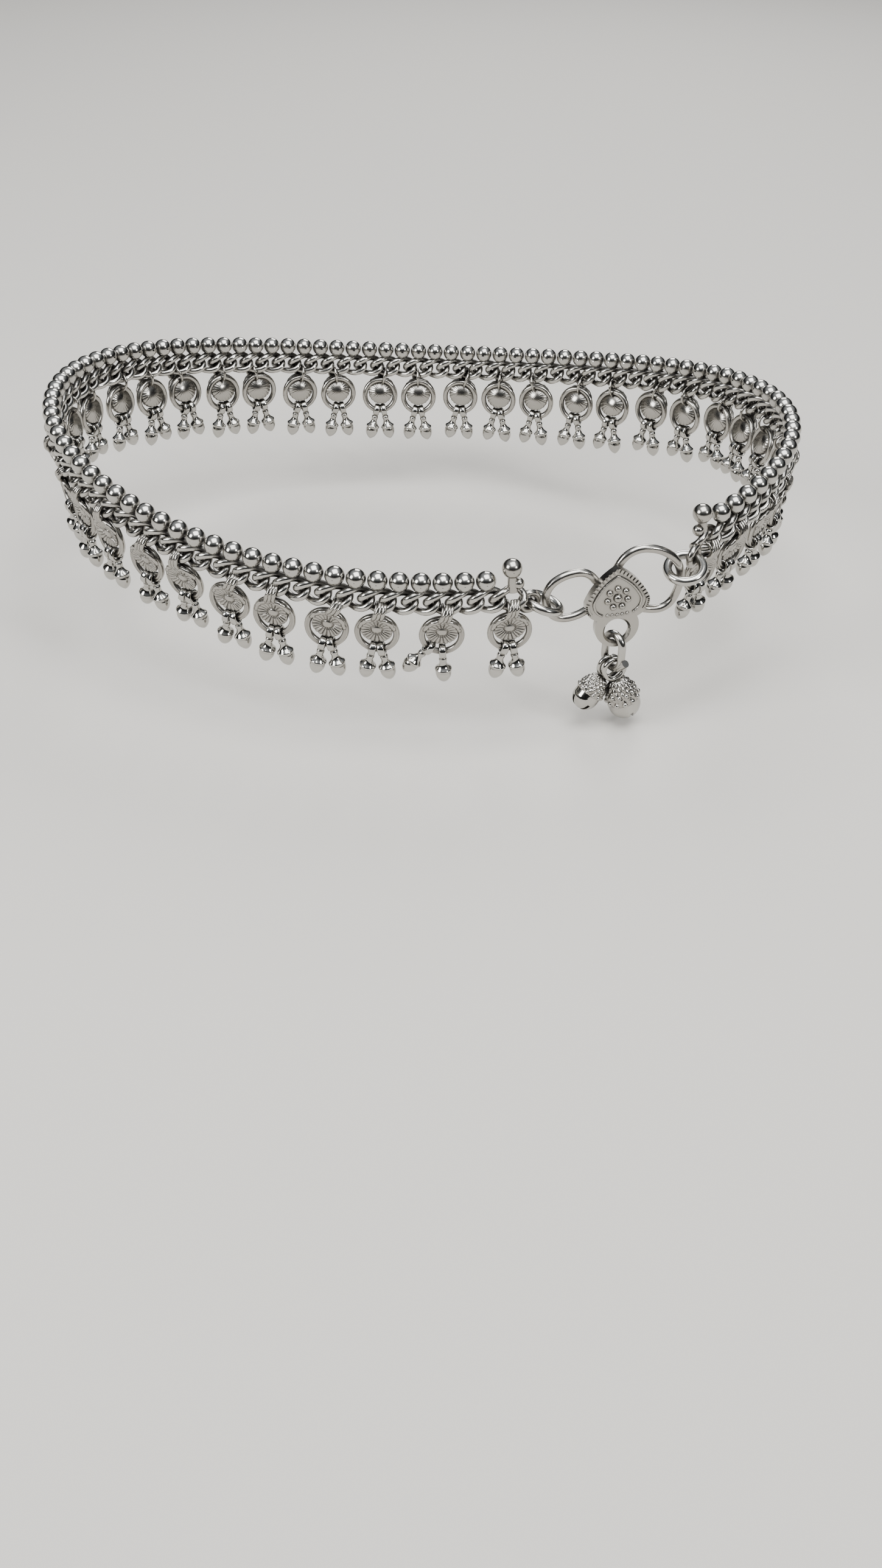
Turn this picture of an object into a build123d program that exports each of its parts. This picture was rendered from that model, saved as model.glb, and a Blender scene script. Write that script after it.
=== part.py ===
from build123d import *
import os
from math import acos, asin, atan2, cos, degrees, pi, radians, sin, sqrt

os.makedirs("parts", exist_ok=True)

# A payal, the silver anklet of India: a curb chain with a ball soldered on every link, a fringe of
# rosette pendants with two acorn drops each, and an S-hook clasp that carries a leaf-shaped plate
# and a pair of small bells. Millimetres. The chain lies as it does round an ankle: +Z is up, X
# runs from the heel (-X) to the instep (+X), and the near side with the clasp faces -Y. The origin
# is the middle of the ankle opening, level with the chain at the middle of its near side.

# The loop round the ankle: an ellipse whose two ends ride up on the heel and the instep.
loop_half_length = 47.7
loop_half_width = 36.6
loop_rise = 6.8
clasp_middle = 25.0    # along the loop, from the middle of the near side
clasp_gap = 26.1       # along the loop, from one end ball to the other

# The ball chain.
link_count = 95
link_wire = 0.88
link_half_length = 1.9
link_half_height = 1.16
link_twist = 0.82      # how far each quarter of a link bows out of its own plane
ball_radius = 1.18
ball_height = 2.5      # from the middle of a link to the middle of its ball

# A rosette pendant: a bail, a grooved ring and a flower disc, cast in one.
bail_radius = 1.12
bail_wire = 0.37
bail_drop = 0.4        # from the middle of the strand that it holds to its own middle
bail_turn = -2         # degrees between its axis and the line of the chain
ring_radius = 2.3
ring_wire = 0.78
ring_drop = 3.38       # from the middle of the strand to the ring's
groove_radius = 0.14
disc_radius = 1.72
disc_thickness = 0.5
disc_lift = 0.62       # the disc sits above the ring's middle and leaves a crescent open
petal_count = 16
petal_inner = 0.6
petal_inner_half = 0.06
petal_end_radius = 0.25
petal_height = 0.2
boss_radius = 0.75
boss_height = 0.42

# An acorn drop, measured down from the middle of its eye.
eye_radius = 0.72
eye_wire = 0.34
drop_neck_top = 0.8
drop_bead_radius = 0.5
drop_waist_radius = 0.45
drop_waist = 1.55
drop_collar_radius = 0.98
drop_collar_top = 2.45
drop_collar_bottom = 2.78
drop_nut_radius = 0.9
drop_tip = 4.5
drop_tip_radius = 0.08
drop_spread = 13.5     # degrees along the ring, each side of its lowest point

# The pendants' places along the chain, counted in links from the left end piece.
first_places = [-0.2, 3]
row_start = 6
row_spacing = 2.37
row_evening = 0.8      # how much of a pendant's offset from its link its tilt makes up
lean_middle = 6        # degrees that the pendants' feet lie in towards the ankle
lean_sway = 4
lean_step = 2.1        # radians from one link to the next in that sway

# The end pieces and the clasp.
post_foot_radius = 0.62
post_head_radius = 0.5
post_foot = 0.86       # above the middle of the end loop, on its upper strand
end_ball_height = 3.8
end_eye_radius = 1.15
end_eye_wire = 0.8
end_eye_reach = 3.0    # from the middle of the end loop to the middle of its eye
post_aside = 0.55      # the post stands on the clasp's side of the end loop
knob_radius = 0.7
knob_height = 1.8
jump_radius = 2.1
jump_wire = 1.1
jump_lean = -85        # degrees from upright; the jump rings lie almost flat
hook_wire = 1.0
clasp_turn = 10        # degrees that the hook and its plate turn from the line of the loop
clasp_shift = -0.3     # along the hook
clasp_depth = -0.5     # towards the ankle
plate_offset = 0.5
plate_turn = 4         # degrees; the plate leans back to the left
plate_thickness = 0.9
plate_seat = 0.2       # how far the plate's back is soldered into the hook's wire
rim_width = 0.45
rim_height = 0.28
rim_end = -4.3         # the rim stops here, where the leaf runs out into the tab
reed_width = 0.24
reeds_per_arc = 11
flower_middle = -2.5
flower_heart_radius = 0.55
flower_petal_radius = 0.42
flower_petal_count = 7
flower_petal_place = 1.25
tab_radius = 2.7
tab_middle = -6.4
hole_radius = 1.47
hole_middle = -6.95
hole_bevel = 0.26

# The bell drop.
link_width = 2.8       # between the two strands' middle lines
link_straight = 1.7
link_stub = [(1.06, -1.06), (2.2, 0.1)]   # the cut end of its wire, from the middle of its lower bend
link_gauge = 0.95
link_turn = 26         # degrees about the upright, out of square with the plate
link_play = 0.25       # the oval link hangs this far from the edge of the hole
bell_ring_radius = 1.35
bell_ring_wire = 0.6
bell_neck = 0.2        # from the middle of the ring's wire down to the bell's crown
bell_ring_spacing = 0.45   # each ring's place on the oval link, from its middle, across the link
bell_ring_drop = 1.5   # from the middle of the link's lower bend to the middle of each ring
bell_turn = 8          # degrees about the upright, towards the link
bell_wall = 0.4
bell_slit = 0.4
bell_bead_count = 12
# Two rows of beads round a bell: how far down its height, how far out and how big, as shares of
# its height, its radius and its radius.
bell_bead_rows = [(0.3, 0.85, 0.16), (0.47, 0.98, 0.17)]


def biarc(start, start_way, end, end_way):
    """The point where two arcs meet that leave `start` along `start_way` and reach `end` along
    `end_way` without a corner."""
    chord = end - start
    ways = start_way + end_way
    a = 2 * (start_way.dot(end_way) - 1)
    b = -2 * chord.dot(ways)
    c = chord.dot(chord)
    reach = -c / b if abs(a) < 1e-9 else (-b - sqrt(b * b - 4 * a * c)) / (2 * a)
    return (start + end + (start_way - end_way) * reach) * 0.5


def arcs_through(points, ways):
    """Two tangent arcs from each point to the next, inside a BuildLine."""
    for i in range(len(points) - 1):
        middle = biarc(points[i], ways[i], points[i + 1], ways[i + 1])
        first = TangentArc(points[i], middle, tangent=ways[i])
        TangentArc(middle, points[i + 1], tangent=first % 1)


def sweep_wire(line, gauge):
    """Round wire along every arc of a line, inside a BuildPart."""
    for arc in line.edges():
        with BuildSketch(Plane(origin=arc @ 0, z_dir=arc % 0)) as section:
            Circle(gauge / 2)
        sweep(sections=section.sketch, path=arc)


def save(part, name):
    part.label = name
    export_step(part, f"parts/{name}.step")


# ---------------------------------------------------------------- the loop and its stations
def loop_point(turn):
    x = loop_half_length * sin(turn)
    y = -loop_half_width * cos(turn)
    return Vector(x, y, loop_rise * (x / loop_half_length) ** 2)


loop_path = Edge.make_spline([loop_point(2 * pi * i / 48) for i in range(48)], periodic=True)
loop_length = loop_path.length
pitch = (loop_length - clasp_gap) / (link_count + 1)
up = Vector(0, 0, 1)


def station(distance):
    """The plane at a distance along the loop: x along the chain, y up, z out from the ankle."""
    part_way = (distance % loop_length) / loop_length
    along = loop_path % part_way
    outward = along.cross(up).normalized()
    return Plane(origin=loop_path @ part_way, x_dir=along, z_dir=outward)


def link_station(number):
    """Links are counted from the left end piece, number 0, against the way the loop runs. The
    right end piece is number link_count + 1."""
    return station(clasp_middle - clasp_gap / 2 - number * pitch)


# ---------------------------------------------------------------- the ball chain
# The middle line of a link's wire leaves each of its four quarter points square to that point's
# radius and bows alternately forward and back, so that neighbours pass through each other.
quarter = pi / 2
link_points = [Vector(link_half_length * cos(i * quarter), link_half_height * sin(i * quarter), 0)
               for i in range(5)]
link_ways = [Vector(-link_half_length * sin(i * quarter), link_half_height * cos(i * quarter),
                    -2 * link_twist * cos(2 * i * quarter)).normalized() for i in range(5)]

with BuildPart() as link_loop:
    with BuildLine() as link_line:
        arcs_through(link_points, link_ways)
    sweep_wire(link_line.line, link_wire)

with BuildPart() as ball_link:
    add(link_loop.part)
    with Locations((0, ball_height, 0)):
        Sphere(ball_radius)

middle_link = link_count // 2
halves = {"ball_chain_left": range(1, middle_link + 1),
          "ball_chain_right": range(middle_link + 1, link_count + 1)}
for name, numbers in halves.items():
    with BuildPart() as ball_chain:
        with Locations(*[link_station(number).location for number in numbers]):
            add(ball_link.part)
    save(ball_chain.part, name)

# ---------------------------------------------------------------- rosette pendants
# Every pendant hangs by its bail from the lower strand of a link. The bail stands across the
# chain, where it clears the ends of the two neighbouring links inside this one.
strand_point = Vector(0, -link_half_height, 0)
bail_way = Vector(cos(radians(bail_turn)), 0, sin(radians(bail_turn)))

with BuildPart() as bail:
    with Locations(Plane(origin=strand_point - Vector(0, bail_drop, 0), z_dir=bail_way)):
        Torus(bail_radius, bail_wire / 2)

with BuildPart() as rosette:
    # the grooved ring
    with BuildSketch(Plane.XZ.offset(ring_drop)):
        with Locations((ring_radius, 0)):
            Circle(ring_wire / 2)
        with Locations((ring_radius, ring_wire / 2)):
            Circle(groove_radius, mode=Mode.SUBTRACT)
    revolve(axis=Axis((0, -ring_drop, 0), (0, 0, 1)))
    # the disc, its raised petals, whose round ends scallop its edge, and its boss
    disc_back = Plane(origin=(0, disc_lift - ring_drop, -disc_thickness / 2))
    disc_front = disc_back.offset(disc_thickness)
    with BuildSketch(disc_back):
        Circle(disc_radius)
    extrude(amount=disc_thickness)
    with BuildSketch(disc_back):
        petal_end = disc_radius - 0.5 * petal_end_radius
        with PolarLocations(0, petal_count):
            with BuildLine():
                Polyline((petal_inner, -petal_inner_half), (petal_end, -petal_end_radius),
                         (petal_end, petal_end_radius), (petal_inner, petal_inner_half), close=True)
            make_face()
            with Locations((petal_end, 0)):
                Circle(petal_end_radius)
    extrude(amount=disc_thickness + petal_height)
    dome_radius = (boss_radius ** 2 + boss_height ** 2) / (2 * boss_height)
    with Locations(disc_front.offset(boss_height - dome_radius)):
        Sphere(dome_radius)

# The places run evenly from row_start to the right end piece.
row_count = int((link_count + 1 - row_start) / row_spacing)
row_step = (link_count + 1 - row_start) / row_count
pendant_places = first_places + [row_start + i * row_step for i in range(row_count + 1)]


def carrier(place):
    """The number of the link that carries the pendant at a place."""
    return min(max(round(place), 0), link_count + 1)


def hanging(place):
    """The plane at the lower strand of the carrying link: y upright, z out from the ankle."""
    seat = link_station(carrier(place))
    level = Vector(seat.x_dir.X, seat.x_dir.Y, 0).normalized()
    return Plane(origin=seat.from_local_coords(strand_point), x_dir=level, z_dir=seat.z_dir)


def lean(place):
    """Degrees that the pendant's foot lies in towards the ankle, a little different each time."""
    return lean_middle + lean_sway * sin(lean_step * place)


def tilt(place):
    """Degrees that the pendant swings sideways to keep the row even."""
    return degrees(asin(row_evening * (carrier(place) - place) * pitch / ring_drop))


def swing(place):
    """How the pendant hangs from that plane: leant in, then swung sideways."""
    return Location((0, 0, 0), (lean(place), 0, 0)) * Location((0, 0, 0), (0, 0, tilt(place)))


def ring_middle(place):
    """The middle of the pendant's ring, with the ring upright but leaning in."""
    middle = (swing(place) * Location((0, -ring_drop, 0))).position
    return hanging(place).location * Location(middle, (lean(place), 0, 0))


for index, place in enumerate(pendant_places, start=1):
    with BuildPart() as rosette_pendant:
        with Locations(link_station(carrier(place))):
            add(bail.part)
        with Locations(hanging(place).location * swing(place)):
            add(rosette.part)
    save(rosette_pendant.part, f"rosette_pendant_{index:02d}")

# ---------------------------------------------------------------- acorn drops
with BuildPart() as acorn_drop:
    with Locations(Plane.YZ):
        Torus(eye_radius, eye_wire / 2)
    with BuildSketch(Plane.XY):
        with BuildLine():
            shoulder = (0.55 * drop_bead_radius, -drop_neck_top)
            waist = (drop_waist_radius, -drop_waist)
            nut_top = (drop_nut_radius, -drop_collar_bottom - 0.12)
            Line((0, -drop_neck_top), shoulder)
            ThreePointArc(shoulder, (drop_bead_radius, -0.5 * (drop_neck_top + drop_waist)), waist)
            Polyline(waist, (drop_collar_radius, -drop_collar_top),
                     (drop_collar_radius, -drop_collar_bottom), nut_top)
            nut_side = (0.68 * drop_nut_radius, -0.85 * drop_tip)
            ThreePointArc(nut_top, nut_side, (drop_tip_radius, -drop_tip))
            Line((drop_tip_radius, -drop_tip), (0, -drop_tip))
            Line((0, -drop_tip), (0, -drop_neck_top))
        make_face()
    revolve(axis=Axis.Y)


def drop_turns(place):
    """Where the two drops hang on the ring, in degrees from its lowest point; at one pendant the
    left drop has slid up the ring."""
    if place == first_places[1]:
        return (-40, 4)
    return (-drop_spread, drop_spread)


drop_halves = {"acorn_drops_left": [p for p in pendant_places if carrier(p) <= middle_link],
               "acorn_drops_right": [p for p in pendant_places if carrier(p) > middle_link]}
for name, places in drop_halves.items():
    seats = [ring_middle(place) * Location((0, 0, 0), (0, 0, turn)) * Location((0, -ring_radius, 0))
             for place in places for turn in drop_turns(place)]
    with BuildPart() as acorn_drops:
        with Locations(*seats):
            add(acorn_drop.part)
    save(acorn_drops.part, name)

# ---------------------------------------------------------------- the clasp's plane and its hook
middle_station = station(clasp_middle)
clasp_heading = atan2(middle_station.x_dir.Y, middle_station.x_dir.X) - radians(clasp_turn)
clasp_x = Vector(cos(clasp_heading), sin(clasp_heading), 0)
clasp_out = clasp_x.cross(up)
clasp_plane = Plane(origin=middle_station.origin + clasp_x * clasp_shift + clasp_out * clasp_depth,
                    x_dir=clasp_x, z_dir=clasp_out)

# The hook's middle line: x, y and the direction it runs in, from the open tip of the left loop
# round to the end that is soldered under the plate.
hook_table = [
    # x     y      degrees
    (-1.9, -0.55, 125),
    (-3.9, 0.6, 180),
    (-7.75, -2.4, 270),
    (-5.3, -5.3, 0),
    (-0.7, -2.0, 66),
    (3.7, 3.1, 0),
    (8.6, -1.1, 270),
    (6.0, -5.05, 180),
    (3.2, -4.3, 150),
]
# where the two end pieces pull to
left_hold = Vector(-7.9, -3.1, 0)
right_hold = Vector(9.0, 0, 0)

with BuildPart() as hook_flat:
    with BuildLine() as hook_line:
        arcs_through([Vector(x, y, 0) for x, y, _ in hook_table],
                     [Vector(cos(radians(a)), sin(radians(a)), 0) for _, _, a in hook_table])
    sweep_wire(hook_line.line, hook_wire)
    with Locations(hook_line.line @ 0):
        Sphere(hook_wire / 2)

# The plate, drawn round its own middle line: a leaf with its point up over a round tab with a hole.
plate_back = hook_wire / 2 - plate_seat
plate_front = plate_back + plate_thickness
leaf_apex = (0, 1.45)
leaf_shoulder = (3.9, -2.85)
leaf_waist = (2.5, -5.25)

with BuildPart() as plate_flat:
    with BuildSketch(Plane.XY.offset(plate_back)) as leaf:
        with BuildLine() as leaf_outline:
            ThreePointArc(leaf_apex, (2.35, -0.35), leaf_shoulder)
            ThreePointArc(leaf_shoulder, (3.65, -4.2), leaf_waist)
            Line(leaf_waist, (0, leaf_waist[1]))
            mirror(about=Plane.YZ)
        make_face()
    extrude(amount=plate_thickness)
    # the raised rim, cut across by the reeding of a milled edge
    with BuildSketch(Plane.XY.offset(plate_front)):
        add(leaf.sketch.moved(Location((0, 0, -plate_back))))
        offset(leaf.sketch.moved(Location((0, 0, -plate_back))), amount=-rim_width, mode=Mode.SUBTRACT)
        with Locations((0, rim_end)):
            Rectangle(3 * tab_radius, 3 * tab_radius, align=(Align.CENTER, Align.MAX), mode=Mode.SUBTRACT)
    extrude(amount=rim_height)
    # the tab
    with BuildSketch(Plane.XY.offset(plate_back)):
        with Locations((0, tab_middle)):
            Circle(tab_radius)
    extrude(amount=plate_thickness)
    with BuildSketch(Plane.XY.offset(plate_back)):
        with Locations((0, hole_middle)):
            Circle(hole_radius)
    extrude(amount=plate_thickness, mode=Mode.SUBTRACT)
    hole_edges = [edge for edge in plate_flat.edges().filter_by(GeomType.CIRCLE)
                  if abs(edge.radius - hole_radius) < 0.01]
    chamfer(hole_edges, hole_bevel)
    # the reeding of a milled edge, cut across the rim
    rim_edges = leaf_outline.line.edges().filter_by(GeomType.CIRCLE)
    reeds = [Location((spot.X, spot.Y, plate_front + rim_height), (0, 0, degrees(atan2(way.Y, way.X))))
             for edge in rim_edges for i in range(reeds_per_arc)
             for spot, way in [(edge @ ((i + 0.5) / reeds_per_arc), edge % ((i + 0.5) / reeds_per_arc))]]
    with Locations(*reeds):
        Box(reed_width, 2.4 * rim_width, 1.2 * rim_height, mode=Mode.SUBTRACT)
    # a plain raised flower fills the face
    with Locations((0, flower_middle, plate_front)):
        Sphere(flower_heart_radius)
        with PolarLocations(flower_petal_place, flower_petal_count, start_angle=90):
            Sphere(flower_petal_radius)

plate_place = Location((plate_offset, 0, 0), (0, 0, plate_turn))
with BuildPart() as s_hook_clasp:
    with Locations(clasp_plane):
        add(hook_flat.part)
    with Locations(clasp_plane.location * plate_place):
        add(plate_flat.part)
save(s_hook_clasp.part, "s_hook_clasp")

# ---------------------------------------------------------------- end pieces and jump rings
end_pieces = {"left": (0, left_hold, 1), "right": (link_count + 1, right_hold, -1)}
for side, (number, hold, toward_clasp) in end_pieces.items():
    seat = link_station(number)
    pull = clasp_plane.from_local_coords(hold) - seat.origin
    pull = pull.normalized()
    upright = (up - pull * up.dot(pull)).normalized()
    outward = pull.cross(upright) * toward_clasp
    lean_back = radians(jump_lean)
    ring_way = upright * cos(lean_back) + outward * sin(lean_back)
    eye_middle = seat.origin + pull * end_eye_reach
    with BuildPart() as end_piece:
        with Locations(seat):
            add(link_loop.part)
            with Locations(Location((toward_clasp * post_aside, 0, 0))):
                with Locations(Location((0, post_foot, 0), (-90, 0, 0))):
                    Cone(post_foot_radius, post_head_radius, end_ball_height - post_foot,
                         align=(Align.CENTER, Align.CENTER, Align.MIN))
                with Locations((0, end_ball_height, 0)):
                    Sphere(ball_radius)
                with Locations((toward_clasp * knob_radius, knob_height, 0)):
                    Sphere(knob_radius)
        with Locations(Plane(origin=eye_middle, x_dir=pull, z_dir=ring_way)):
            Torus(end_eye_radius, end_eye_wire / 2)
    save(end_piece.part, f"end_piece_{side}")
    with BuildPart() as jump_ring:
        with Locations(Plane(origin=eye_middle + pull * jump_radius, x_dir=pull,
                             z_dir=pull.cross(ring_way))):
            Torus(jump_radius, jump_wire / 2)
    save(jump_ring.part, f"jump_ring_{side}")

# ---------------------------------------------------------------- the bell drop
# The oval link hangs in the hole of the plate. Its own plane has x from its back strand to its
# front one, y up, and its origin in the middle of its top bend, on which it swings.
across = radians(link_turn)
bend = link_width / 2
hole_place = (plate_place * Location((0, hole_middle, 0))).position
swing_middle = hole_place + Vector(0, link_play + link_gauge / 2 - hole_radius - bend,
                                   0.5 * (plate_back + plate_front))
link_flat_plane = Plane(origin=swing_middle, x_dir=Vector(sin(across), 0, cos(across)),
                        z_dir=Vector(cos(across), 0, -sin(across)) * -1)
link_plane = Plane(clasp_plane.location * link_flat_plane.location)

with BuildPart() as oval_flat:
    with BuildLine() as oval_line:
        front = Line((bend, 0), (bend, -link_straight))
        foot = RadiusArc((bend, -link_straight), (-bend, -link_straight), bend)
        back = Line((-bend, -link_straight), (-bend, 0))
        RadiusArc((-bend, 0), (bend, 0), bend)
    sweep_wire(oval_line.line, link_gauge)
    # the cut end of the wire stands out past the front strand
    with BuildLine() as stub_line:
        Line(*[(x, y - link_straight) for x, y in link_stub])
    sweep_wire(stub_line.line, link_gauge)

with BuildPart() as oval_link:
    with Locations(link_plane):
        add(oval_flat.part)
save(oval_link.part, "oval_link")


def bell(radius, height):
    """A round bell that hangs from its own soldered ring, with the ring's middle at the origin."""
    top = -bell_ring_radius - bell_neck
    belly = top - 0.62 * height

    def side(wall):
        with BuildSketch(Plane.XY) as half:
            with BuildLine():
                crown = (0.3 * radius, top - wall)
                widest = (radius - wall, belly)
                Line((0, top - wall), crown)
                ThreePointArc(crown, (0.82 * radius - wall, top - 0.28 * height), widest)
                low = (0, top - height + wall)
                ThreePointArc(widest, (0.72 * radius - 0.8 * wall, top - 0.9 * height + 0.5 * wall), low)
                Line(low, (0, top - wall))
            make_face()
        return half.sketch

    with BuildPart() as made:
        revolve(side(0), axis=Axis.Y)
        for row, (down, out, size) in enumerate(bell_bead_rows):
            with Locations(Location((0, top - down * height, 0), (90, 0, 0))):
                with PolarLocations(out * radius, bell_bead_count, start_angle=row * 180 / bell_bead_count):
                    Sphere(size * radius)
        revolve(side(bell_wall), axis=Axis.Y, mode=Mode.SUBTRACT)
        with Locations((0, top - height, 0)):
            Box(3 * radius, 0.5 * height, bell_slit, mode=Mode.SUBTRACT)
            Box(bell_slit, 0.5 * height, 3 * radius, mode=Mode.SUBTRACT)
        Torus(bell_ring_radius, bell_ring_wire / 2)
    return made.part


bells = {
    # name         radius, height, side of the link, degrees of swing
    "bell_left": (1.65, 4.8, -1, -36),
    "bell_right": (2.0, 5.8, 1, 20),
}
for name, (radius, height, side, swing) in bells.items():
    rest = Vector(side * bell_ring_spacing, -link_straight - bell_ring_drop, 0)
    middle = clasp_plane.to_local_coords(link_plane.from_local_coords(rest))
    with BuildPart() as hung_bell:
        with Locations(clasp_plane.location * Location(middle, (0, bell_turn, swing))):
            add(bell(radius, height))
    save(hung_bell.part, name)

print(f"loop {loop_length:.1f} mm, pitch {pitch:.3f} mm, {len(pendant_places)} pendants, "
      f"{2 * len(pendant_places)} drops")
print("swing axis through", link_plane.origin, "along", link_plane.z_dir)
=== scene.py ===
# %% [markdown]
# # A silver payal, dressed for its picture
# A payal is the silver anklet of India. This one is a curb chain with a ball soldered on every link,
# a fringe of flower pendants with two acorn drops each, and an S-hook clasp that carries a leaf
# plate and two small bells. The solids come in finished, so the work here is what a silversmith
# does last: chasing the flowers, wrapping the wires and polishing, and the recesses get a dark
# colour that is tarnish and painted shade.

# %% Load the solids
import bpy
import math
import numpy as np
from mathutils import Matrix, Vector


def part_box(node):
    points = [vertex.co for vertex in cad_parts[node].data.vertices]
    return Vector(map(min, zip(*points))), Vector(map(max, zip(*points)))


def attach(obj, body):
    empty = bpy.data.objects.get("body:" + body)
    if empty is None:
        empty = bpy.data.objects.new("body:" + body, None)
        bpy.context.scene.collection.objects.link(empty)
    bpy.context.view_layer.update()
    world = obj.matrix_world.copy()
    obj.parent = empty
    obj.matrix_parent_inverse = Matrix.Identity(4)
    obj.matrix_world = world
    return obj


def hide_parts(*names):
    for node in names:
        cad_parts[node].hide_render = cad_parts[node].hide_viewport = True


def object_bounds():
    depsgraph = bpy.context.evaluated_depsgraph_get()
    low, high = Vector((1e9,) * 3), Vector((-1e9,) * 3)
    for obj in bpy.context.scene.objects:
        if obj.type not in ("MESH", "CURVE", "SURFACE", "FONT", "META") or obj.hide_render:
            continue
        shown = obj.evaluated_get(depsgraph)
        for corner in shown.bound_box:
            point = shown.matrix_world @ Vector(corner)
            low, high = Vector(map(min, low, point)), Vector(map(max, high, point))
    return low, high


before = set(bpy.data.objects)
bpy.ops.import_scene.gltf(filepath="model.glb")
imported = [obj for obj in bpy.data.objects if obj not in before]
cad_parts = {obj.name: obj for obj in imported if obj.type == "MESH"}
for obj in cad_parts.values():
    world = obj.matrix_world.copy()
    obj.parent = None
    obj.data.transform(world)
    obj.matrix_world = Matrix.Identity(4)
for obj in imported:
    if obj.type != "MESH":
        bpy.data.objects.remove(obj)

solid_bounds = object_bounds()
print("solids span", [[round(1000 * v, 1) for v in corner] for corner in solid_bounds], "mm")

# %% [markdown]
# ## Colours and nodes
# Colours are written as the sRGB hex values that a paint chart gives, and shaders want linear
# numbers, so one function turns one into the other. Another adds a shader node, sets its values
# and links its inputs, which keeps each finish below to a few lines. Sizes are written in
# millimetres, as a silversmith gives them, and Blender's metres are MM times those.

# %% Colour and node helpers
MM = 0.001


def linear(code):
    """An sRGB hex colour as linear RGBA: each channel is divided by 12.92 where it is dark, and
    otherwise shifted, scaled and raised to 2.4."""
    channels = [int(code[i:i + 2], 16) / 255 for i in (1, 3, 5)]
    return tuple(c / 12.92 if c < 0.04045 else ((c + 0.055) / 1.055) ** 2.4 for c in channels) + (1,)


def add_node(tree, kind, links=(), **settings):
    """Adds a node. A setting is an attribute of the node or, where it has none of that name, the
    value of the input with that name. Each link is (output socket, name or number of the input)."""
    node = tree.nodes.new(kind)
    for name, value in settings.items():
        if hasattr(node, name):
            setattr(node, name, value)
        else:
            node.inputs[name.replace("_", " ")].default_value = value
    for output, name in links:
        tree.links.new(output, node.inputs[name])
    return node


# %% [markdown]
# ## Silver
# Payal silver is an alloy of about nine parts in ten, cast or drawn, tumbled with steel shot and
# then dipped bright. Tumbling rounds and burnishes what stands out and leaves the hollows alone,
# which grow a thin grey tarnish: that contrast is what lets the eye read such small relief. So
# each finish is a bright metal whose colour and roughness change where the surface is shut in,
# with fine dents from the shot as a bump. The dark colour there is painted by an occlusion test,
# so it is that tarnish and also painted shade.

# %% The silver finishes
worn_patch_mm = 3.1       # between the places where wear has thinned the tarnish


def silver(name, bright, shade, rough, rough_shade, dent_mm, dent_depth_mm, reach_mm):
    """Tumbled silver. `bright` and `rough` are its colour and roughness in the open, `shade` and
    `rough_shade` in the recesses, where most of the directions within `reach_mm` are blocked: the
    recess colour paints tarnish and shade there."""
    material = bpy.data.materials.new(name)
    material.use_nodes = True
    tree = material.node_tree
    shader = tree.nodes["Principled BSDF"]
    shader.inputs["Metallic"].default_value = 1.0
    place = add_node(tree, "ShaderNodeTexCoord").outputs["Object"]
    open_sky = add_node(tree, "ShaderNodeAmbientOcclusion", samples=6, Distance=reach_mm * MM)
    worn = add_node(tree, "ShaderNodeTexNoise", [(place, "Vector")],
                    Scale=1 / (worn_patch_mm * MM), Detail=3.0)
    # Where the occlusion test finds the surface shut in, the colour goes to the dark recess colour:
    # tarnish, and painted shade as well.
    recess_tarnish_and_shade = add_node(tree, "ShaderNodeMapRange", [(open_sky.outputs["AO"], "Value")],
                      From_Min=0.25, From_Max=0.9, To_Min=1.0, To_Max=0.0)
    wear = add_node(tree, "ShaderNodeMapRange", [(worn.outputs["Fac"], "Value")],
                    From_Min=0.3, From_Max=0.7, To_Min=0.65, To_Max=1.0)
    tarnish_and_painted_shade = add_node(tree, "ShaderNodeMath", [(recess_tarnish_and_shade.outputs["Result"], 0), (wear.outputs["Result"], 1)],
                       operation="MULTIPLY")
    colour = add_node(tree, "ShaderNodeMix", [(tarnish_and_painted_shade.outputs[0], "Factor")], data_type="RGBA")
    colour.inputs[6].default_value = linear(bright)
    colour.inputs[7].default_value = linear(shade)
    tree.links.new(colour.outputs[2], shader.inputs["Base Color"])
    gloss = add_node(tree, "ShaderNodeMapRange", [(tarnish_and_painted_shade.outputs[0], "Value")],
                     To_Min=rough, To_Max=rough_shade)
    tree.links.new(gloss.outputs["Result"], shader.inputs["Roughness"])
    dents = add_node(tree, "ShaderNodeTexNoise", [(place, "Vector")], Scale=1 / (dent_mm * MM), Detail=1.0)
    bump = add_node(tree, "ShaderNodeBump", [(dents.outputs["Fac"], "Height")],
                    Strength=1.0, Distance=dent_depth_mm * MM)
    tree.links.new(bump.outputs["Normal"], shader.inputs["Normal"])
    return material


finishes = {name: silver(name, *values) for name, values in {
    # Drawn wire keeps a soft drawn skin, the drops and bells burnish most, and castings hold the
    # darkest tarnish and painted shade. Columns: colour and recess colour (tarnish and painted
    # shade), roughness of both, dent width and depth, reach.
    "drawn silver wire": ("#B8B6B1", "#33302D", 0.17, 0.42, 0.9, 0.010, 1.5),
    "burnished silver": ("#B8B6B1", "#37332F", 0.11, 0.38, 1.4, 0.008, 1.0),
    "cast silver": ("#ACA9A3", "#282523", 0.20, 0.48, 0.6, 0.014, 1.1),
}.items()}
finish_of = {"ball_chain": "drawn silver wire", "acorn_drops": "burnished silver",
             "rosette_pendant": "cast silver", "s_hook_clasp": "cast silver",
             "end_piece": "cast silver", "jump_ring": "drawn silver wire",
             "oval_link": "drawn silver wire", "bell": "burnished silver"}
for name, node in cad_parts.items():
    family = next(key for key in finish_of if name.startswith(key))
    for slot in node.material_slots:
        slot.material = finishes[finish_of[family]]
print(len(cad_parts), "solids in", len(finishes), "finishes")

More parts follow.
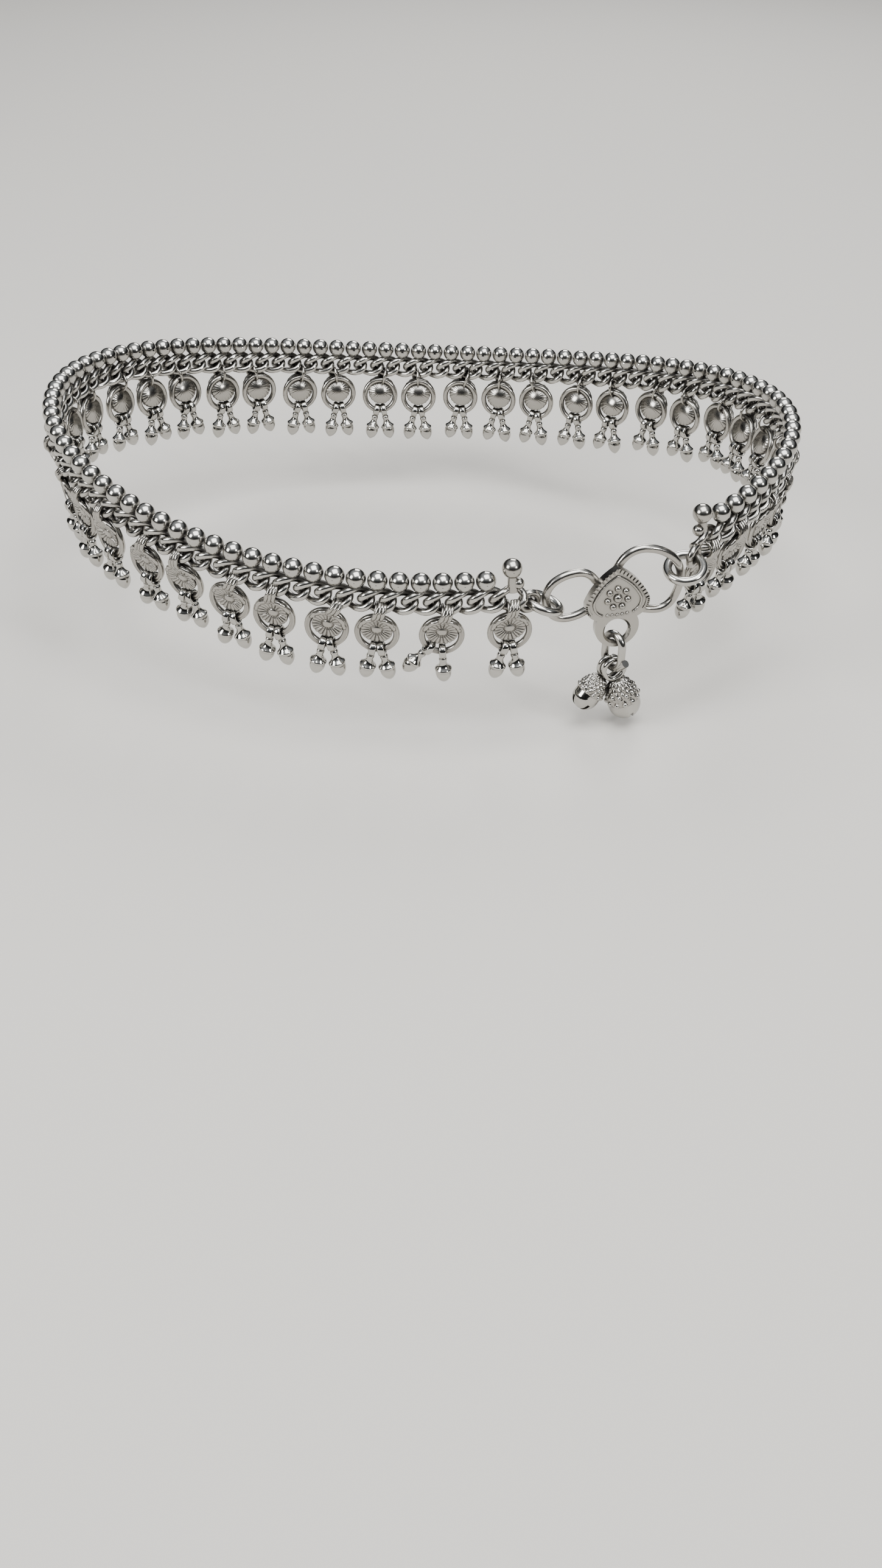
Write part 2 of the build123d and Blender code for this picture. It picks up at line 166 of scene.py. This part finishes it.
# %% [markdown]
# ## The places of the pendants
# The pendants hang from a loop that isn't a circle, each leans its own way, and there are forty of
# them, so nothing can be placed by eye. The same few sizes that laid out the solids give every
# place again: an ellipse measured along its length, one link after the other.

# %% Planes along the loop
loop_half_length, loop_half_width, loop_rise = 47.7, 36.6, 6.8
clasp_middle, clasp_gap = 25.0, 26.1
link_count = 95
link_half_height = 1.16
loop_steps, look_around = 7200, 0.02

turns = np.linspace(0, 2 * np.pi, loop_steps + 1)
loop = np.stack([loop_half_length * np.sin(turns), -loop_half_width * np.cos(turns),
                 loop_rise * np.sin(turns) ** 2], axis=1)
walked = np.concatenate([[0], np.cumsum(np.linalg.norm(np.diff(loop, axis=0), axis=1))])
loop_length = walked[-1]
pitch = (loop_length - clasp_gap) / (link_count + 1)
print(f"loop {loop_length:.2f} mm, one link every {pitch:.2f} mm")


def station(distance):
    """The place at a distance along the loop, as (turning matrix, origin): its columns point along
    the chain, up, and out from the ankle."""
    here, ahead, behind = (np.stack([np.interp((distance + step) % loop_length, walked, axis)
                                     for axis in loop.T]) for step in (0, look_around, -look_around))
    along = (ahead - behind) / np.linalg.norm(ahead - behind)
    outward = np.cross(along, (0, 0, 1))
    outward /= np.linalg.norm(outward)
    return np.stack([along, np.cross(outward, along), outward], axis=1), here


def turned(axis, angle):
    """The matrix of a turn about the X, Y or Z axis, in degrees."""
    return np.array(Matrix.Rotation(math.radians(angle), 3, axis))


# %% The pendants' and drops' places
row_evening, lean_middle, lean_sway, lean_step = 0.8, 6, 4, 2.1
ring_radius, ring_drop, disc_lift = 2.3, 3.38, 0.62
drop_spread, slid_drops = 13.5, (-40, 4)
first_places, row_start, row_spacing = [-0.2, 3], 6, 2.37
pendant_middle_drop = 3.1      # from its strand to the middle of the box round a pendant
row_count = int((link_count + 1 - row_start) / row_spacing)
row_step = (link_count + 1 - row_start) / row_count
pendant_places = first_places + [row_start + i * row_step for i in range(row_count + 1)]


def carrier(place):
    """The link that carries the pendant at a place."""
    return min(max(round(place), 0), link_count + 1)


def hung(place):
    """How a pendant hangs: the upright plane of its link, leant in at the foot; the swing, in
    degrees, that keeps the row even; and the middle of the strand that carries it."""
    link = carrier(place)
    turning, middle = station(clasp_middle - clasp_gap / 2 - link * pitch)
    level = turning[:, 0] * (1, 1, 0) / np.linalg.norm(turning[:2, 0])
    upright = np.stack([level, (0, 0, 1), turning[:, 2]], axis=1)
    lean = lean_middle + lean_sway * math.sin(lean_step * place)
    tilt = math.degrees(math.asin(row_evening * (link - place) * pitch / ring_drop))
    return upright @ turned("X", lean), tilt, middle + turning @ (0, -link_half_height, 0)


def drop_turns(place):
    """How far round the ring the two drops hang, in degrees; one of them has slid up."""
    return slid_drops if place == first_places[1] else (-drop_spread, drop_spread)


rosette_places, drop_places = [], []
for place in pendant_places:
    upright, tilt, strand = hung(place)
    rosette_places.append((upright @ turned("Z", tilt), strand))
    ring_middle = strand + upright @ turned("Z", tilt) @ (0, -ring_drop, 0)
    for turn in drop_turns(place):
        round_ring = upright @ turned("Z", turn)
        drop_places.append((round_ring, ring_middle + round_ring @ (0, -ring_radius, 0)))
left_count = sum(carrier(place) <= link_count // 2 for place in pendant_places)
box_middles = [np.mean([list(corner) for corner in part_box(f"rosette_pendant_{number:02d}")], axis=0) / MM
               for number in range(1, len(pendant_places) + 1)]
miss = max(np.linalg.norm(turning @ (0, -pendant_middle_drop, 0) + at - middle)
           for (turning, at), middle in zip(rosette_places, box_middles))
print(len(rosette_places), "pendants,", len(drop_places), "drops, "
      f"at most {miss:.2f} mm from the middles of their solids")

# %% [markdown]
# ## Surfaces from grids
# Every added piece is made of sheets of points worked out by a formula: a profile that goes once
# round, or a section carried along a path. One helper joins neighbours of such a grid into
# triangles, one carries a section along a path, and one puts several grids together. Two more make
# the Blender object and lay copies of a shape at many places.

# %% Triangles over grids
def skin(rows, columns, ring=False):
    """Triangles over a grid whose every row is a closed loop. Where the rows don't close into a
    ring themselves, the first and the last are closed by a fan round their first point."""
    r, c = np.meshgrid(np.arange(rows - (not ring)), np.arange(columns), indexing="ij")
    a, b = r * columns + c, r * columns + (c + 1) % columns
    beyond = (a + columns) % (rows * columns), (b + columns) % (rows * columns)
    sides = np.stack([a, b, beyond[1], a, beyond[1], beyond[0]], axis=-1).reshape(-1, 3)
    if ring:
        return sides
    fan = np.arange(1, columns - 1)
    first = np.stack([np.zeros_like(fan), fan + 1, fan], axis=1)
    last = np.stack([np.zeros_like(fan), fan, fan + 1], axis=1) + (rows - 1) * columns
    return np.concatenate([sides, first, last])


def carried(path, across, upward, ring_u, ring_v):
    """A section carried along a path: point (i, j) is path i, plus ring_u times the across way
    and ring_v times the upward way at i. The ring may change along the path."""
    return path[:, None] + across[:, None] * ring_u[..., None] + upward[:, None] * ring_v[..., None]


def joined(grids):
    """The points in mm and the triangles of several grids. Each grid comes with a word whether
    its rows close into a ring. The volume that the triangles of a grid enclose is negative if they
    face inwards, and then they are turned."""
    all_points, all_triangles, count = [], [], 0
    for grid, ring in grids:
        points, triangles = grid.reshape(-1, 3), skin(*grid.shape[:2], ring)
        a, b, c = np.moveaxis(points[triangles], 1, 0)
        if np.einsum("ij,ij->", a, np.cross(b, c)) < 0:
            triangles = triangles[:, ::-1]
        all_points.append(points)
        all_triangles.append(triangles + count)
        count += len(points)
    return np.concatenate(all_points), np.concatenate(all_triangles)


# %% Objects from triangles
def piece(name, points, triangles, body, finish):
    """An object from points in metres and triangles, smooth, with a finish, riding on a body."""
    mesh = bpy.data.meshes.new(name)
    mesh.vertices.add(len(points))
    mesh.vertices.foreach_set("co", points.astype(np.float32).ravel())
    mesh.loops.add(3 * len(triangles))
    mesh.loops.foreach_set("vertex_index", triangles.astype(np.int32).ravel())
    mesh.polygons.add(len(triangles))
    mesh.polygons.foreach_set("loop_start", np.arange(0, 3 * len(triangles), 3, dtype=np.int32))
    mesh.polygons.foreach_set("use_smooth", np.ones(len(triangles), dtype=bool))
    mesh.update(calc_edges=True)
    mesh.validate()
    mesh.materials.append(finishes[finish])
    made = bpy.data.objects.new(name, mesh)
    bpy.context.collection.objects.link(made)
    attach(made, body)
    return made


def laid(name, points, triangles, places, body, finish):
    """Makes one object of points in mm and triangles, laid at every place, and lets it ride."""
    all_points = np.concatenate([points @ turning.T + at for turning, at in places]) * MM
    steps = np.arange(len(places))[:, None, None] * len(points)
    return piece(name, all_points, (triangles[None] + steps).reshape(-1, 3), body, finish)


# %% [markdown]
# ## The pendant
# The solids' flower stands upright in its ring. On the real pendant it is dished and leans out at
# the top, over the ring, which leaves a wide crescent open below it. So each pendant is made anew
# round its own solid, from a ring, a bail, a chased flower and twisted rope, and stands for it.
# Twisted wire is the payal maker's favourite trim, and it hides where the parts are soldered.

# %% Twisted rope
rope_points, rope_core, rope_lobe = 10, 0.86, 0.24


def rope(path, radius, lay):
    """Twisted wire along a path: a section whose radius is a core plus two lobes, the size of the
    cosine of the angle round it, and the lobes make half a turn in every `lay` mm."""
    steps = np.gradient(path, axis=0)
    along = steps / np.linalg.norm(steps, axis=1)[:, None]
    across = np.cross(along, (0, 0, 1.0))
    across /= np.linalg.norm(across, axis=1)[:, None]
    length = np.concatenate([[0], np.cumsum(np.linalg.norm(np.diff(path, axis=0), axis=1))])
    ring = np.linspace(0, 2 * np.pi, rope_points, endpoint=False)
    size = radius * (rope_core + rope_lobe * np.abs(np.cos(ring[None] + np.pi * length[:, None] / lay)))
    return carried(path, across, np.cross(across, along), size * np.cos(ring), size * np.sin(ring))


# %% Ring and bail
# Both are a round section carried round a circle. The ring's has more points round its groove.
ring_wire, groove_depth, groove_half_angle = 0.78, 0.12, 15
bail_radius, bail_wire, bail_drop = 1.12, 0.37, 0.4
about = np.linspace(0, 2 * np.pi, 56, endpoint=False)[:, None]
section = np.radians([0, 40, 68, 80, 90, 100, 112, 140, 180, 225, 270, 315])
tube = ring_wire / 2 - groove_depth * (np.abs(np.degrees(section) - 90) < groove_half_angle)
out = ring_radius + tube * np.cos(section)
grooved_ring = np.stack([out * np.cos(about), out * np.sin(about) - ring_drop,
                         0 * about + tube * np.sin(section)], axis=-1)
about, section = about[::2], np.linspace(0, 2 * np.pi, 8, endpoint=False)
out = bail_radius + bail_wire / 2 * np.cos(section)
bail = np.stack([0 * about + bail_wire / 2 * np.sin(section), out * np.cos(about) - bail_drop,
                 out * np.sin(about)], axis=-1)
print(f"ring {2 * ring_radius + ring_wire:.2f} mm and bail {2 * bail_radius + bail_wire:.2f} mm across")

# %% [markdown]
# ## The chased flower
# A casting comes out of its mould soft, and the chaser sharpens it: petals that swell between cut
# grooves, a rim scalloped by their round ends, and a boss in the middle of the dish. A bump map
# would leave the outline round and the highlights in the wrong place, so the relief is real:
# height as a function of the distance from the middle and of the place between grooves.

# %% The flower
petal_count, columns_per_petal = 20, 6
flower_radius, flower_back, flower_lean = 1.88, -0.3, 14
dish_height, dish_depth, petal_relief, boss_height = 0.1, 0.3, 0.24, 0.42
boss_share, petal_ease = 0.37, 0.08
scallop_from, scallop_depth, edge_depth, back_share = 0.85, 0.05, 0.25, 0.97
shares = np.array([0.01, 0.14, 0.25, 0.33, 0.37, 0.42, 0.5, 0.6, 0.7, 0.8, 0.88, 0.94, 0.98, 1])
angles = np.linspace(0, 2 * np.pi, petal_count * columns_per_petal, endpoint=False)
share, angle = np.meshgrid(shares, angles, indexing="ij")
off_groove = np.abs(np.cos(angle * petal_count / 2))
swell = np.sqrt(1 - (1 - off_groove) ** 2)
boss = boss_height * np.sqrt(np.clip(1 - (share / boss_share) ** 2, 0, 1))
petal_start = np.clip((share - boss_share) / petal_ease, 0, 1) ** 0.5
petal_end = np.clip((1 - share) / petal_ease, 0, 1) ** 0.5
petals = petal_relief * swell * petal_start * petal_end
reach = flower_radius * share * np.where(share > scallop_from, 1 - scallop_depth * (1 - swell), 1)
height = dish_height + dish_depth * share ** 2 + np.where(share < boss_share, boss, petals)
front = np.stack([reach * np.cos(angle), reach * np.sin(angle), height], axis=-1)
edge = front[-1:] - (0, 0, edge_depth)
back = np.stack([edge[0] * (back_share, back_share, 0), front[0] * (1, 1, 0)]) + (0, 0, flower_back)
flower_middle = np.array([0, disc_lift - ring_drop, 0])
leaning = turned("X", flower_lean)
flower = np.concatenate([front, edge, back]) @ leaning.T + flower_middle
print("flower of", petal_count, "petals,", front.shape[0], "rows of", front.shape[1], "points")

# %% [markdown]
# ## Rope over the flower and over the chain
# One length of rope follows the upper rim of the flower, where flower, ring and bail meet. Three
# more rise side by side from there, lie over the front of the chain and turn in behind it. They
# stand just outside the bail, narrow, and lean to the right on their way up.

# %% Ropes
rim_rope_reach, rim_rope_radius, rim_rope_lay = 2.0, 0.3, 0.8
rim_rope_lift, rim_rope_rise = 0.12, 0.25
strap_rope_radius, strap_rope_lay, strap_shifts = 0.25, 0.7, (-0.46, 0, 0.46)
strap_foot_width, strap_narrowing = 1.15, 0.5
rope_angles = np.radians(np.linspace(174, 6, 44))
rim_path = np.stack([rim_rope_reach * np.cos(rope_angles), rim_rope_reach * np.sin(rope_angles),
                     rim_rope_lift + rim_rope_rise * np.sin(rope_angles)], axis=1)
rim_path = rim_path @ leaning.T + flower_middle
strap_points = np.array([
    # x, y and z of the middle rope, from the flower's top over the chain
    (0.00, -1.15, 0.62), (0.10, -0.90, 0.92), (0.25, -0.50, 1.20), (0.42, 0.00, 1.30),
    (0.60, 0.45, 1.14), (0.72, 0.80, 0.80), (0.80, 1.00, 0.35)])
walk = np.linspace(0, len(strap_points) - 1, 25)
strap_middle = np.stack([np.interp(walk, np.arange(len(strap_points)), axis)
                         for axis in strap_points.T], axis=1)
strap_middle[1:-1] = (strap_middle[:-2] + strap_middle[1:-1] + strap_middle[2:]) / 3
spread = (strap_foot_width - strap_narrowing * walk / walk[-1])[:, None] * (1, 0, 0)
ropes = [rope(rim_path, rim_rope_radius, rim_rope_lay)]
ropes += [rope(strap_middle + shift * spread, strap_rope_radius, strap_rope_lay)
          for shift in strap_shifts]
print(len(ropes), "ropes of", len(rim_path), "and", len(walk), "steps")

# %% All pendants
pendant = joined([(grooved_ring, True), (bail, True), (flower, False)]
                 + [(strand, False) for strand in ropes])
for number, place in enumerate(rosette_places, 1):
    made = laid(f"flower_pendant_{number:02d}", *pendant, [place], "anklet", "cast silver")
    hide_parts(f"rosette_pendant_{number:02d}")
print(len(rosette_places), "pendants of", len(pendant[1]), "triangles")

# %% [markdown]
# ## The acorn drops
# Each drop hangs by a strip wrapped once round the ring, which looks like three fine wires side by
# side: a band that goes round an axis along the ring. Below it comes a bead, a cap that flares like
# a trumpet and ends in a bright rolled lip, and a full, pointed nut. These are turned shapes, and
# they stand for the plainer solids, so that lip and nut can be round where those have corners.

# %% Wrapped eyes
# The band's section is a circle drawn out towards a rectangle, with three ridges on its outside.
wrap_inner, wrap_outer, wrap_half_width, wrap_ridge, squareness = 0.53, 0.88, 0.42, 0.07, 0.6
section_points, turned_points = 16, 20
section = np.linspace(0, 2 * np.pi, section_points, endpoint=False)
wide = np.sign(np.cos(section)) * np.abs(np.cos(section)) ** squareness
thick = np.sign(np.sin(section)) * np.abs(np.sin(section)) ** squareness
ridge = wrap_ridge * np.abs(np.cos(1.5 * np.pi * wide)) * (thick > 0)
band_radius = (wrap_inner + wrap_outer) / 2 + (wrap_outer - wrap_inner) / 2 * thick + ridge
turn, inside = np.meshgrid(np.linspace(0, 2 * np.pi, turned_points, endpoint=False),
                           np.arange(section_points), indexing="ij")
wrap = np.stack([wrap_half_width * wide[inside], band_radius[inside] * np.cos(turn),
                 band_radius[inside] * np.sin(turn)], axis=-1)
print("eyes", 2 * wrap_half_width, "mm wide, for a ring wire of", ring_wire, "mm")

# %% Bead, cap and nut
drop_profile = np.array([
    # radius and depth below the eye's middle: bead, trumpet cap, lip, groove, nut
    (0.03, 0.76), (0.28, 0.80), (0.45, 0.96), (0.50, 1.16), (0.46, 1.38), (0.42, 1.52),
    (0.46, 1.74), (0.58, 2.02), (0.76, 2.24), (0.92, 2.38), (1.00, 2.46), (1.03, 2.56),
    (1.01, 2.68), (0.94, 2.75), (0.88, 2.78), (0.91, 2.88), (0.94, 3.06), (0.94, 3.28),
    (0.88, 3.56), (0.76, 3.84), (0.58, 4.10), (0.34, 4.33), (0.12, 4.47), (0.03, 4.50)])
turn = np.linspace(0, 2 * np.pi, turned_points, endpoint=False)
radius, depth = drop_profile[:, :1], drop_profile[:, 1:]
drop = np.stack([radius * np.cos(turn), -depth + 0 * turn, radius * np.sin(turn)], axis=-1)
hanging_drop = joined([(wrap, True), (drop, False)])
drop_halves = {"left": drop_places[:2 * left_count], "right": drop_places[2 * left_count:]}
for side, places in drop_halves.items():
    drops = laid("turned_drops_" + side, *hanging_drop, places, "anklet", "burnished silver")
    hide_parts("acorn_drops_" + side)
print(len(drop_places), "drops of", len(hanging_drop[1]), "triangles")

# %% [markdown]
# ## The clasp's own plane
# The hook, its plate and the bells were laid out in one upright plane, turned a little from the
# line of the loop, so their trim needs that plane too, and each bell's own place in it.

# %% Places on the clasp
clasp_turn, clasp_shift, clasp_depth = 10, -0.3, -0.5
plate_offset, plate_turn, hole_middle, hole_radius = 0.5, 4, -6.95, 1.47
plate_depth, plate_front = 0.75, 1.2
link_width, link_straight, link_gauge, link_turn, link_play = 2.8, 1.7, 0.95, 26, 0.25
bell_spacing, bell_ring_drop, bell_turn, bell_ring_radius, bell_neck = 0.45, 1.5, 8, 1.35, 0.2
bells = {
    # radius, height, side of the link's foot, and swing in degrees
    "bell_left": (1.65, 4.8, -1, -36),
    "bell_right": (2.0, 5.8, 1, 20),
}

turning, middle = station(clasp_middle)
heading = math.atan2(turning[1, 0], turning[0, 0]) - math.radians(clasp_turn)
clasp_x = np.array([math.cos(heading), math.sin(heading), 0])
clasp_out = np.cross(clasp_x, (0, 0, 1))
clasp = np.stack([clasp_x, (0, 0, 1), clasp_out], axis=1)
clasp_origin = middle + clasp_x * clasp_shift + clasp_out * clasp_depth
hole_place = np.array([plate_offset, 0, plate_depth]) + turned("Z", plate_turn) @ (0, hole_middle, 0)
swing_middle = hole_place + (0, link_play + link_gauge / 2 - hole_radius - link_width / 2, 0)
across = math.radians(link_turn)
link_x = np.array([math.sin(across), 0, math.cos(across)])
bell_places = {}
for name, (radius, tall, side, swing) in bells.items():
    ring = swing_middle + link_x * side * bell_spacing - (0, link_straight + bell_ring_drop, 0)
    bell_places[name] = (clasp @ turned("Y", bell_turn) @ turned("Z", swing), clasp_origin + clasp @ ring)
print("bells hang from", [at.round(1).tolist() for _, at in bell_places.values()], "mm")

# %% [markdown]
# ## The bells' filigree
# The upper part of each bell is crusted with little scrolls of wire, soldered so close that they
# read as a rough, glittering cap over a smooth cup. Two sets of slanting waves that cross give
# such lumps; their height is added to the bell's own profile.

# %% An arc through three points
def arc_through(first, between, last, count):
    """Points on the circle arc through three points of a plane: the middle of the circle is where
    the two chords' bisectors meet."""
    a, b, c = (complex(*p) for p in (first, between, last))
    w = (c - a) / (b - a)
    centre = (b - a) * (w - abs(w) ** 2) / (2j * w.imag) + a
    sweep = np.angle((c - centre) / (a - centre))
    points = centre + (a - centre) * np.exp(1j * sweep * np.linspace(0, 1, count))
    return np.stack([points.real, points.imag], axis=1)


# %% Bell caps
# The cap has the bell's own side, an arc, and stops a few rows above the arc's widest place. The
# arc's three points are shares of the bell's radius and of its height, from the neck down.
bell_side = [(0.3, 0), (0.82, 0.28), (1, 0.62)]
cap_rows, cap_columns, smooth_rows = 30, 96, 5
waves_round, waves_down = 7, 9
cap_skin, cap_relief, cap_fade = 0.04, 0.24, 1.06
cap_inside, cap_middle, lid_rise, hem_drop = 0.8, 0.2, 0.05, 0.1
down, turn = np.meshgrid(np.linspace(0, 1, cap_rows),
                         np.linspace(0, 2 * np.pi, cap_columns, endpoint=False), indexing="ij")
slants = [np.sin(waves_round * turn + way * waves_down * down) for way in (1, -1)]
waves = np.abs(slants[0] * slants[1]) ** 0.7
swell = cap_skin + cap_relief * waves * np.sin(np.pi * np.clip(down * cap_fade, 0, 1)) ** 0.4
top = -bell_ring_radius - bell_neck
for name, (radius, tall, _, _) in bells.items():
    on_side = [(out_share * radius, top - down_share * tall) for out_share, down_share in bell_side]
    profile = arc_through(*on_side, cap_rows + smooth_rows)[:cap_rows]
    outer = profile[:, 0][:, None] + swell
    high = np.broadcast_to(profile[:, 1][:, None] + 0.4 * swell * (1 - down), outer.shape)
    shell = np.stack([outer * np.cos(turn), high, outer * np.sin(turn)], axis=-1)
    inner = shell[::-1] * (cap_inside, 1, cap_inside)
    lid = shell[:1] * (cap_middle, 1, cap_middle) + (0, lid_rise, 0)
    hem = inner[-1:] * (cap_middle, 1, cap_middle) - (0, hem_drop, 0)
    cap = np.concatenate([lid, shell, inner[:1], hem])
    laid(name + "_filigree", *joined([(cap, False)]), [bell_places[name]], "bell_drop", "cast silver")
print("filigree of", cap.shape[0], "rows of", cap_columns, "points on", len(bells), "bells")

# %% [markdown]
# ## The border on the plate
# The plate's raised flower sits in a border of fine rope, which runs inside the reeded rim and
# ends where the leaf meets the tab, over a row of small beads.

# %% Plate border
# The border is the leaf's outline, two arcs on each side, shrunk towards a point of its middle line.
leaf_apex, leaf_shoulder, leaf_waist = (0, 1.45), (3.9, -2.85), (2.5, -5.25)
border_share, border_centre = 0.74, np.array([0, -2.7])
border_radius, border_lay, border_lift = 0.15, 0.45, 0.05
upper = arc_through(leaf_apex, (2.35, -0.35), leaf_shoulder, 26)
lower = arc_through(leaf_shoulder, (3.65, -4.2), leaf_waist, 12)
right_half = (np.concatenate([upper, lower[1:]]) - border_centre) * border_share + border_centre
outline = np.concatenate([right_half[::-1] * (-1, 1), right_half[1:]])
border = rope(np.column_stack([outline, np.full(len(outline), plate_front + border_lift)]),
              border_radius, border_lay)

# %% Beads on the plate
bead_radius, bead_row, bead_sag, pole_gap = 0.23, -4.75, 0.05, 0.05
polar, around = np.meshgrid(np.linspace(pole_gap, np.pi - pole_gap, 9),
                            np.linspace(0, 2 * np.pi, 12, endpoint=False), indexing="ij")
bead = bead_radius * np.stack([np.sin(polar) * np.cos(around), np.cos(polar),
                               np.sin(polar) * np.sin(around)], axis=-1)
beads = [(bead + (x, bead_row + bead_sag * x * x, plate_front), False) for x in (-1.2, -0.6, 0, 0.6, 1.2)]
plate_place = (clasp @ turned("Z", plate_turn), clasp_origin + clasp @ (plate_offset, 0, 0))
laid("plate_border", *joined([(border, False)] + beads), [plate_place], "anklet", "cast silver")
print("border of", len(outline), "steps, over", len(beads), "beads")

# %% [markdown]
# ## The table and the light
# Polished silver has no colour of its own to speak of: it shows the room. A big soft panel above,
# a window on the left, a small lamp on the right and one behind give each ball its highlights. The
# room is dark round the horizon and grows brighter overhead, so every wire gets a dark line along
# its side, which is what sets it off from the pale table.

# %% Floor
lowest = solid_bounds[0][2]
floor_drop, floor_size = 1 * MM, 6
bpy.ops.mesh.primitive_plane_add(size=floor_size, location=(0, 1, lowest - floor_drop))
floor = bpy.context.object
floor.name = "studio_floor"
paper = bpy.data.materials.new("pale matt paper")
paper.use_nodes = True
paper.node_tree.nodes["Principled BSDF"].inputs["Base Color"].default_value = linear("#C9C6C0")
paper.node_tree.nodes["Principled BSDF"].inputs["Roughness"].default_value = 0.9
floor.data.materials.append(paper)
print("floor", round(floor_drop / MM, 1), "mm under the lowest point")


# %% Lights
def softbox(name, size, watts, place, target=(0, 0, 0)):
    """A square area light of `size` metres at `place`, turned to face `target`."""
    light = bpy.data.objects.new(name, bpy.data.lights.new(name, "AREA"))
    light.data.size = size
    light.data.energy = watts
    light.location = place
    light.rotation_euler = (Vector(target) - Vector(place)).to_track_quat("-Z", "Y").to_euler()
    bpy.context.collection.objects.link(light)


softbox("panel above", 0.40, 3.4, (0.05, -0.12, 0.45))
softbox("window left", 0.25, 2.6, (-0.45, -0.30, 0.30))
softbox("lamp right", 0.10, 1.0, (0.40, -0.30, 0.30))
softbox("lamp behind", 0.25, 1.6, (0.05, 0.45, 0.35))
print(len(bpy.data.lights), "lights")

# %% The room
room = bpy.data.worlds.new("studio room")
room.use_nodes = True
tree = room.node_tree
way = add_node(tree, "ShaderNodeTexCoord").outputs["Generated"]
upward = add_node(tree, "ShaderNodeSeparateXYZ", [(way, "Vector")]).outputs["Z"]
horizon_glow, zenith_glow, dark_up_to = 0.03, 0.8, 0.3
glow = add_node(tree, "ShaderNodeMapRange", [(upward, "Value")], interpolation_type="SMOOTHSTEP",
                From_Min=dark_up_to, From_Max=1.0, To_Min=horizon_glow, To_Max=zenith_glow)
tree.nodes["Background"].inputs["Color"].default_value = linear("#D5D9DE")
tree.links.new(glow.outputs["Result"], tree.nodes["Background"].inputs["Strength"])
bpy.context.scene.world = room
print("room glows", horizon_glow, "at the horizon and", zenith_glow, "overhead")

# %% [markdown]
# ## The camera
# It stands about two hands' breadths in front of the near side and looks down on the anklet, as one
# looks at a foot on a counter. From so close, the near balls and bells come out clearly larger than
# the far ones. The picture stands upright, so the sensor's size is that of its height.

# %% Camera
camera_place = Vector((8.5, -196.1, 88.6)) * MM
looks_down, looks_left, leans = 35.55, 1.29, 1.91
sensor_mm, lens_mm = 36, 36.3354
camera = bpy.data.objects.new("camera", bpy.data.cameras.new("camera"))
camera.data.sensor_width = sensor_mm
camera.data.lens = lens_mm
camera.data.clip_start = 0.005
camera.matrix_world = (Matrix.Translation(camera_place)
                       @ Matrix.Rotation(math.radians(looks_left), 4, "Z")
                       @ Matrix.Rotation(math.radians(90 - looks_down), 4, "X")
                       @ Matrix.Rotation(math.radians(leans), 4, "Z"))
bpy.context.collection.objects.link(camera)
bpy.context.scene.camera = camera
print("lens", lens_mm, "mm,", looks_down, "degrees down")
